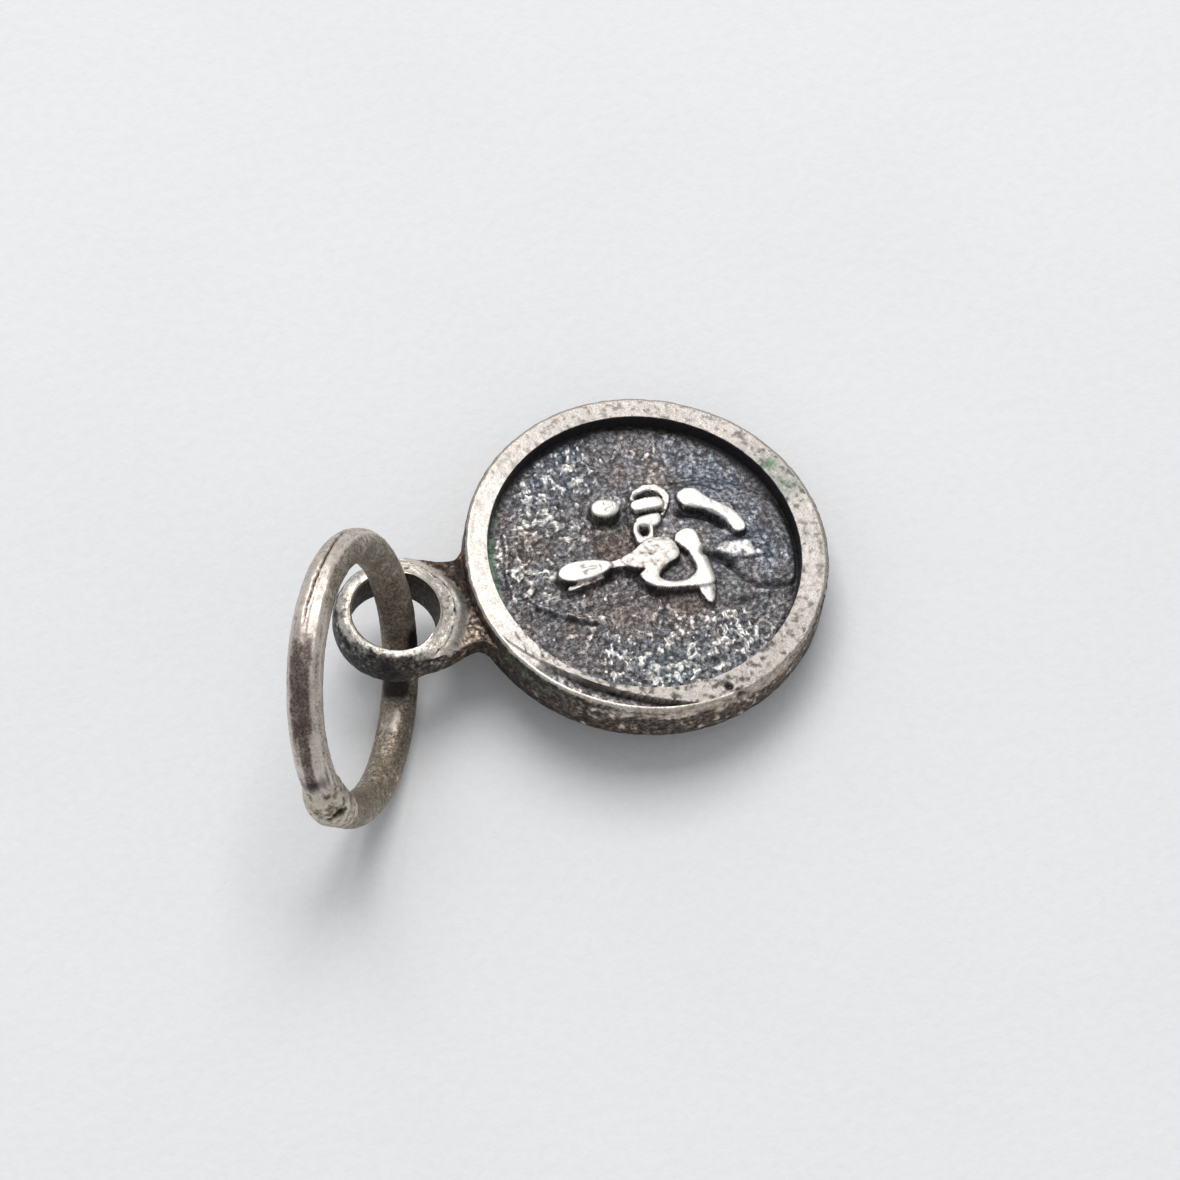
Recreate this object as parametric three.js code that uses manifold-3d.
// A small oxidised silver religious medal with the jump ring that it hangs from.
// Millimetres, +Z up. The medal lies face up: +X runs from the eye to the far edge of the disc.
import * as THREE from "three";
import { mergeVertices } from "three/addons/utils/BufferGeometryUtils.js";
import Module from "manifold-3d";

const wasm = await Module();
wasm.setup();

// The cast round body
const BODY_DIAMETER = 12.0;
const BODY_THICKNESS = 1.9;
const BODY_EDGE_TOP_RADIUS = 0.15;
const BODY_EDGE_BACK_RADIUS = 0.5;
const LIP_WIDTH = 0.17;
const BACK_RIM_WIDTH = 0.75;
const BACK_RECESS = 0.12;

// The struck face that sits inside the body's lip
const FACE_THICKNESS = 0.8;
const FACE_RIM_WIDTH = 0.71;
const FIELD_DEPTH = 0.55;
const FIELD_WALL_DRAFT = 0.08;
const FACE_SEAT_GAP = 0.02;

// The crescent at the face's edge where its rim runs short of the lip
const SEAM_DIRECTION = -126;
const SEAM_WIDTH = 0.52;
const SEAM_ARC_RADIUS = 11.0;
const SEAM_DEPTH = 0.32;

// The wire ring and the solder that closes it
const RING_MEAN_DIAMETER = 8.41;
const WIRE_DIAMETER = 1.18;
const BEAD_LENGTH = 1.9;
const BEAD_DIAMETER = 1.46;
const BEAD_ANGLE = -170;
const BEAD_GAP = 0.02;

// The eye at the medal's top
const EYE_PLAY = 1.66;
const EYE_BAR_WIDTH = 0.57;
const EYE_THICKNESS = 1.45;
const EYE_SECTION_SQUARENESS = 2.4;
const EYE_INNER_EDGE = 0.12;
const EYE_TO_BODY = 0.43;
const NECK_WIDTH = 3.14;
const NECK_WAIST_FROM_BODY = 0.15;
const NECK_FLARE = 0.5;
const NECK_TOP = 0.42;
const NECK_BOTTOM = -0.46;
const NECK_EDGE_RADIUS = 0.12;
const NECK_GAP = 0.02;

// How the wire stands in the eye: where its middle crosses the eye's mid plane, from the hole's
// centre, and the ring's attitude, all in the medal's own axes
const CROSSING_X = 0.19;
const CROSSING_Y = 0.39;
const RING_TURN = -30.6;
const RING_RISE = 21.7;
const RING_CROSSING_ANGLE = -25.1;

// How far the resting medal is rolled about its own X. Its tilt follows from where it touches.
const REST_ROLL = -2.6;

// The bar that the ring swings about, as a direction from the hole's centre
const SWING_BAR_DIRECTION = 248;

// The relief on the field: a robed figure with a child on its arm, heads towards the eye. Points
// are [x, y] on the disc, from its middle.
const RELIEF_HEIGHT = 0.42;
const ROBE_HEIGHT = 0.2;
const ROBE_LENGTH = 6.4;
const ROBE_WIDTH = 3.5;
const ROBE_MIDDLE = [2.3, -0.55];
const HEAD_LENGTH = 1.55;
const HEAD_WIDTH = 0.84;
const HEAD_MIDDLE = [-2.05, -0.18];
const NECK_ROUTE = [[-1.5, -0.12], [0.2, 0.05]];
const CHEST_LENGTH = 1.9;
const CHEST_WIDTH = 1.5;
const CHEST_MIDDLE = [0.75, 0.0];
const BENT_ARM_ROUTE = [[-0.15, -0.85], [0.9, -1.4], [1.75, -1.25], [1.6, 0.25]];
const SLEEVE_ROUTE = [[1.95, 1.7], [2.6, 1.05], [3.3, 0.1]];
const LIMB_WIDTH = 0.5;
const CHILD_HEAD_WIDTH = 0.8;
const CHILD_HEAD_MIDDLE = [-0.73, 1.85];
const CHILD_ROUTE = [[0.45, 2.05], [1.2, 1.85], [0.45, 0.75]];
const CHILD_LIMB_WIDTH = 0.8;

// Facets
const TURNS = 80;
const EYE_TURNS = 44;
const WIRE_SIDES = 16;
const RING_STEPS = 72;
const CORNER_STEPS = 4;

const BODY_RADIUS = BODY_DIAMETER / 2;
const TOP = BODY_THICKNESS / 2;
const LIP_INNER_RADIUS = BODY_RADIUS - LIP_WIDTH;
const FACE_RADIUS = LIP_INNER_RADIUS - FACE_SEAT_GAP;
const FIELD_RADIUS = FACE_RADIUS - FACE_RIM_WIDTH;
const FIELD_Z = TOP - FIELD_DEPTH;
const FACE_BACK_Z = TOP - FACE_THICKNESS;
const WIRE_RADIUS = WIRE_DIAMETER / 2;
const RING_RADIUS = RING_MEAN_DIAMETER / 2;
const EYE_HOLE_RADIUS = (WIRE_DIAMETER + EYE_PLAY) / 2;
const EYE_RADIUS = EYE_HOLE_RADIUS + EYE_BAR_WIDTH;
const EYE_BAR_RADIUS = EYE_HOLE_RADIUS + EYE_BAR_WIDTH / 2;
const EYE_X = -(BODY_RADIUS + EYE_TO_BODY + EYE_RADIUS);

const rad = THREE.MathUtils.degToRad;
const flat = (azimuth) => new THREE.Vector3(Math.cos(rad(azimuth)), Math.sin(rad(azimuth)), 0);

// A closed geometry as a manifold solid, with its shared vertices merged and slivers left out.
function solid(geometry) {
  const bare = geometry.clone();
  bare.deleteAttribute("normal");
  bare.deleteAttribute("uv");
  const merged = mergeVertices(bare, 1e-5);
  const index = merged.index.array;
  const kept = [];
  for (let i = 0; i < index.length; i += 3) {
    const [a, b, c] = [index[i], index[i + 1], index[i + 2]];
    if (a !== b && b !== c && c !== a) kept.push(a, b, c);
  }
  const vertProperties = Float32Array.from(merged.attributes.position.array);
  const triVerts = Uint32Array.from(kept);
  return new wasm.Manifold(new wasm.Mesh({ numProp: 3, vertProperties, triVerts }));
}

function geometryOf(manifold) {
  const mesh = manifold.getMesh();
  const geometry = new THREE.BufferGeometry();
  geometry.setAttribute("position", new THREE.BufferAttribute(mesh.vertProperties, 3));
  geometry.setIndex(new THREE.BufferAttribute(mesh.triVerts, 1));
  geometry.computeVertexNormals();
  return geometry;
}

// A profile of [radius, height] points turned about Z. It runs from the axis at the top, out and
// down, and back to the axis, or closes on itself.
function turned(profile, steps = TURNS) {
  const points = profile.map(([radius, height]) => new THREE.Vector2(radius, height));
  const lathe = new THREE.LatheGeometry(points, steps).rotateX(Math.PI / 2);
  const made = solid(lathe);
  return made.volume() < 0 ? solid(flipped(lathe)) : made;
}

function flipped(geometry) {
  const index = Array.from(geometry.index.array);
  for (let i = 0; i < index.length; i += 3) [index[i], index[i + 1]] = [index[i + 1], index[i]];
  return geometry.clone().setIndex(index);
}

// A quarter round of a profile about a centre, from one angle to another in degrees.
function corner(x, z, radius, from, to) {
  return Array.from({ length: CORNER_STEPS + 1 }, (_, i) => {
    const angle = rad(from + ((to - from) * i) / CORNER_STEPS);
    return [x + radius * Math.cos(angle), z + radius * Math.sin(angle)];
  });
}

function extruded(shape, depth, bottom, bevel = 0) {
  const options = { depth: depth - 2 * bevel, bevelEnabled: bevel > 0, curveSegments: 10 };
  Object.assign(options, { bevelSize: bevel, bevelThickness: bevel, bevelOffset: -bevel, bevelSegments: 2 });
  return solid(new THREE.ExtrudeGeometry(shape, options).translate(0, 0, bottom + bevel));
}

// A flattened ball on the field, as all the relief's forms are.
function mound(x, y, length, width, height, turn = 0) {
  const ball = new THREE.SphereGeometry(0.5, 16, 10);
  ball.rotateX(Math.PI / 2).scale(length, width, 2 * height).rotateZ(rad(turn));
  return solid(ball.translate(x, y, FIELD_Z));
}

// The body's outer wall from the top edge to the back edge, let out by a margin.
function wallProfile(margin = 0) {
  const edge = Math.min(BODY_EDGE_TOP_RADIUS, LIP_WIDTH);
  const back = Math.min(BODY_EDGE_BACK_RADIUS, BODY_THICKNESS - edge);
  return [
    ...corner(BODY_RADIUS - edge, TOP - edge, edge + margin, 90, 0),
    ...corner(BODY_RADIUS - back, -TOP + back, back + margin, 0, -90),
  ];
}

function caseBody() {
  const backField = BODY_RADIUS - BODY_EDGE_BACK_RADIUS - BACK_RIM_WIDTH;
  return turned([
    [0, FACE_BACK_Z - FACE_SEAT_GAP],
    [LIP_INNER_RADIUS, FACE_BACK_Z - FACE_SEAT_GAP],
    [LIP_INNER_RADIUS, TOP],
    ...wallProfile(),
    [backField, -TOP],
    [backField - BACK_RECESS, -TOP + BACK_RECESS],
    [0, -TOP + BACK_RECESS],
  ]);
}

// The space outside a wide arc, from the seam's floor up: it takes the crescent off the face's rim.
function seamCutter() {
  const centre = flat(SEAM_DIRECTION).multiplyScalar(FACE_RADIUS - SEAM_WIDTH - SEAM_ARC_RADIUS);
  const height = 2 * SEAM_DEPTH;
  const block = new THREE.CylinderGeometry(BODY_RADIUS + 1, BODY_RADIUS + 1, height, TURNS);
  const kept = new THREE.CylinderGeometry(SEAM_ARC_RADIUS, SEAM_ARC_RADIUS, 2 * height, 4 * TURNS);
  const place = (cylinder, x, y) => solid(cylinder.rotateX(Math.PI / 2).translate(x, y, TOP));
  return place(block, 0, 0).subtract(place(kept, centre.x, centre.y));
}

// Mounds laid along a route of points, each reaching from one point to the next.
function limb(route, width, height) {
  return route.slice(1).map(([x, y], i) => {
    const [fromX, fromY] = route[i];
    const length = Math.hypot(x - fromX, y - fromY) + width;
    const turn = THREE.MathUtils.radToDeg(Math.atan2(y - fromY, x - fromX));
    return mound((x + fromX) / 2, (y + fromY) / 2, length, width, height, turn);
  });
}

function reliefForms() {
  return [
    mound(...ROBE_MIDDLE, ROBE_LENGTH, ROBE_WIDTH, ROBE_HEIGHT, -12),
    mound(...HEAD_MIDDLE, HEAD_LENGTH, HEAD_WIDTH, RELIEF_HEIGHT, -6),
    mound(...CHEST_MIDDLE, CHEST_LENGTH, CHEST_WIDTH, RELIEF_HEIGHT),
    mound(...CHILD_HEAD_MIDDLE, CHILD_HEAD_WIDTH, CHILD_HEAD_WIDTH, RELIEF_HEIGHT),
    ...limb(NECK_ROUTE, LIMB_WIDTH, RELIEF_HEIGHT),
    ...limb(BENT_ARM_ROUTE, LIMB_WIDTH, RELIEF_HEIGHT),
    ...limb(SLEEVE_ROUTE, LIMB_WIDTH, RELIEF_HEIGHT),
    ...limb(CHILD_ROUTE, CHILD_LIMB_WIDTH, RELIEF_HEIGHT),
  ];
}

function faceDisc() {
  const field = FIELD_RADIUS - FIELD_WALL_DRAFT;
  const blank = turned([
    [0, FIELD_Z],
    [field, FIELD_Z],
    [FIELD_RADIUS, TOP],
    [FACE_RADIUS, TOP],
    [FACE_RADIUS, FACE_BACK_Z],
    [0, FACE_BACK_Z],
  ]);
  const room = new THREE.CylinderGeometry(field + 0.02, field + 0.02, FACE_THICKNESS, TURNS);
  const window = solid(room.rotateX(Math.PI / 2).translate(0, 0, FACE_BACK_Z + 0.05 + FACE_THICKNESS / 2));
  const forms = reliefForms().reduce((all, form) => all.add(form));
  return blank.add(forms.intersect(window)).subtract(seamCutter());
}

// The section of the eye's bar: straight down the hole, and domed from the hole's edge outwards.
function barProfile() {
  const sides = 14;
  const power = 2 / EYE_SECTION_SQUARENESS;
  const half = EYE_THICKNESS / 2;
  const edge = Math.min(EYE_INNER_EDGE, EYE_BAR_WIDTH / 3);
  const bulge = (value) => Math.sign(value) * Math.abs(value) ** power;
  const dome = Array.from({ length: sides + 1 }, (_, i) => {
    const angle = Math.PI / 2 - (Math.PI * i) / sides;
    const out = i === 0 || i === sides ? 0 : Math.cos(angle) ** power;
    return [EYE_HOLE_RADIUS + edge + (EYE_BAR_WIDTH - edge) * out, half * bulge(Math.sin(angle))];
  });
  const points = [...dome, [EYE_HOLE_RADIUS, edge - half], [EYE_HOLE_RADIUS, half - edge]];
  return [...points, points[0]];
}

// The neck's plan: it leaves the eye's sides, draws in to a waist and flares into the body's wall.
function neckShape() {
  const half = NECK_WIDTH / 2;
  const waistX = -BODY_RADIUS - NECK_WAIST_FROM_BODY;
  const wallX = -Math.sqrt(BODY_RADIUS ** 2 - (half + NECK_FLARE) ** 2);
  const startX = EYE_X + 0.28 * EYE_RADIUS;
  const startY = 0.94 * EYE_RADIUS;
  const reach = (waistX - startX) / 2;
  const shape = new THREE.Shape();
  shape.moveTo(startX, startY);
  shape.bezierCurveTo(startX + reach, startY, waistX - reach / 2, half, waistX, half);
  shape.quadraticCurveTo((waistX + wallX) / 2, half, wallX, half + NECK_FLARE);
  shape.lineTo(wallX + NECK_FLARE, half + NECK_FLARE);
  shape.lineTo(wallX + NECK_FLARE, -half - NECK_FLARE);
  shape.lineTo(wallX, -half - NECK_FLARE);
  shape.quadraticCurveTo((waistX + wallX) / 2, -half, waistX, -half);
  shape.bezierCurveTo(waistX - reach / 2, -half, startX + reach, -startY, startX, -startY);
  return shape;
}

function bailEye() {
  const ring = turned(barProfile(), EYE_TURNS).translate([EYE_X, 0, 0]);
  const neck = extruded(neckShape(), NECK_TOP - NECK_BOTTOM, NECK_BOTTOM, NECK_EDGE_RADIUS);
  const bore = new THREE.CylinderGeometry(EYE_BAR_RADIUS, EYE_BAR_RADIUS, 2 * EYE_THICKNESS, EYE_TURNS);
  const clear = solid(bore.rotateX(Math.PI / 2).translate(EYE_X, 0, 0));
  const wall = turned([[0, TOP + NECK_GAP], ...wallProfile(NECK_GAP), [0, -TOP - NECK_GAP]]);
  return ring.add(neck.subtract(clear)).subtract(wall);
}

// A slice of the ring's plane between two angles, thick enough to hold the wire.
function ringSlice(from, to) {
  const reach = 2 * RING_RADIUS;
  const slice = new THREE.Shape();
  slice.moveTo(0, 0);
  slice.lineTo(reach * Math.cos(rad(from)), reach * Math.sin(rad(from)));
  slice.absarc(0, 0, reach, rad(from), rad(to));
  return extruded(slice, 4 * WIRE_DIAMETER, -2 * WIRE_DIAMETER);
}

const BEAD_HALF_ANGLE = THREE.MathUtils.radToDeg(BEAD_LENGTH / 2 / RING_RADIUS);
const BEAD_GAP_ANGLE = THREE.MathUtils.radToDeg(BEAD_GAP / RING_RADIUS);

// The wire, open where the solder sits, about its own centre and square to Z.
function jumpRing() {
  const wire = solid(new THREE.TorusGeometry(RING_RADIUS, WIRE_RADIUS, WIRE_SIDES, RING_STEPS));
  const half = BEAD_HALF_ANGLE + BEAD_GAP_ANGLE;
  return wire.subtract(ringSlice(BEAD_ANGLE - half, BEAD_ANGLE + half));
}

function solderBead() {
  const ball = new THREE.SphereGeometry(0.5, 20, 14);
  ball.scale(BEAD_DIAMETER, 2 * BEAD_LENGTH, BEAD_DIAMETER);
  ball.rotateZ(rad(BEAD_ANGLE));
  const centre = flat(BEAD_ANGLE).multiplyScalar(RING_RADIUS);
  const lump = solid(ball.translate(centre.x, centre.y, 0));
  return lump.intersect(ringSlice(BEAD_ANGLE - BEAD_HALF_ANGLE, BEAD_ANGLE + BEAD_HALF_ANGLE));
}

// The ring's own axes in the medal's: its X lies level with the medal, its Z is the ring's normal.
function ringFrame() {
  const level = flat(RING_TURN + 90);
  const normal = flat(RING_TURN).multiplyScalar(Math.cos(rad(RING_RISE)));
  normal.z = Math.sin(rad(RING_RISE));
  const basis = new THREE.Matrix4().makeBasis(level, normal.clone().cross(level), normal);
  const crossing = new THREE.Vector3(EYE_X + CROSSING_X, CROSSING_Y, 0);
  const reach = flat(RING_CROSSING_ANGLE).multiplyScalar(RING_RADIUS).applyMatrix4(basis);
  return { normal, centre: crossing.sub(reach), turn: new THREE.Quaternion().setFromRotationMatrix(basis) };
}

// The tilt about Y, in radians, at which the disc's far back edge and the ring both touch the table.
function restTilt({ normal, centre }) {
  const roll = rad(REST_ROLL);
  const gap = (tilt) => {
    const up = new THREE.Vector3(0, 0, 1).applyEuler(new THREE.Euler(-roll, -tilt, 0, "XYZ"));
    const lean = Math.sqrt(1 - up.z ** 2);
    const disc = Math.min(...wallProfile().map(([radius, z]) => up.z * z - lean * radius));
    const slope = up.dot(normal);
    return up.dot(centre) - RING_RADIUS * Math.sqrt(1 - slope ** 2) - WIRE_RADIUS - disc;
  };
  let [low, high] = [0, rad(45)];
  for (let i = 0; i < 50; i += 1) {
    const middle = (low + high) / 2;
    if (gap(middle) < 0) low = middle;
    else high = middle;
  }
  return low;
}

const finish = (color, roughness) => new THREE.MeshStandardMaterial({ color, roughness, metalness: 1 });
const oxidised = finish(0x4a4240, 0.55);
const worn = finish(0xb9b2ac, 0.35);
const wireSilver = finish(0x7d736b, 0.42);
const solder = finish(0x9a9186, 0.6);

function piece(name, manifold, material) {
  const mesh = new THREE.Mesh(geometryOf(manifold), material);
  mesh.name = name;
  return mesh;
}

const medal = new THREE.Group();
medal.add(piece("case_body", caseBody(), oxidised));
medal.add(piece("face_disc", faceDisc(), worn));
medal.add(piece("bail_eye", bailEye(), oxidised));

const ringPose = ringFrame();
const ring = new THREE.Group();
ring.position.copy(ringPose.centre);
ring.quaternion.copy(ringPose.turn);
ring.add(piece("jump_ring", jumpRing(), wireSilver));
ring.add(piece("ring_solder_bead", solderBead(), solder));
medal.add(ring);

// An empty marks the bar that the ring swings about: its own Z is the axis.
const swing = new THREE.Object3D();
swing.name = "swing_axis";
swing.position.copy(flat(SWING_BAR_DIRECTION)).multiplyScalar(EYE_BAR_RADIUS).add({ x: EYE_X, y: 0, z: 0 });
swing.quaternion.setFromUnitVectors(new THREE.Vector3(0, 0, 1), flat(SWING_BAR_DIRECTION + 90));
medal.add(swing);

// The group stands on the table at Z 0 with the middle of its outline over the origin.
medal.rotation.set(rad(REST_ROLL), restTilt(ringPose), 0, "YXZ");
const group = new THREE.Group();
group.add(medal);
const box = new THREE.Box3().setFromObject(group, true);
const middle = box.getCenter(new THREE.Vector3());
medal.position.set(-middle.x, -middle.y, -box.min.z);

export default group;
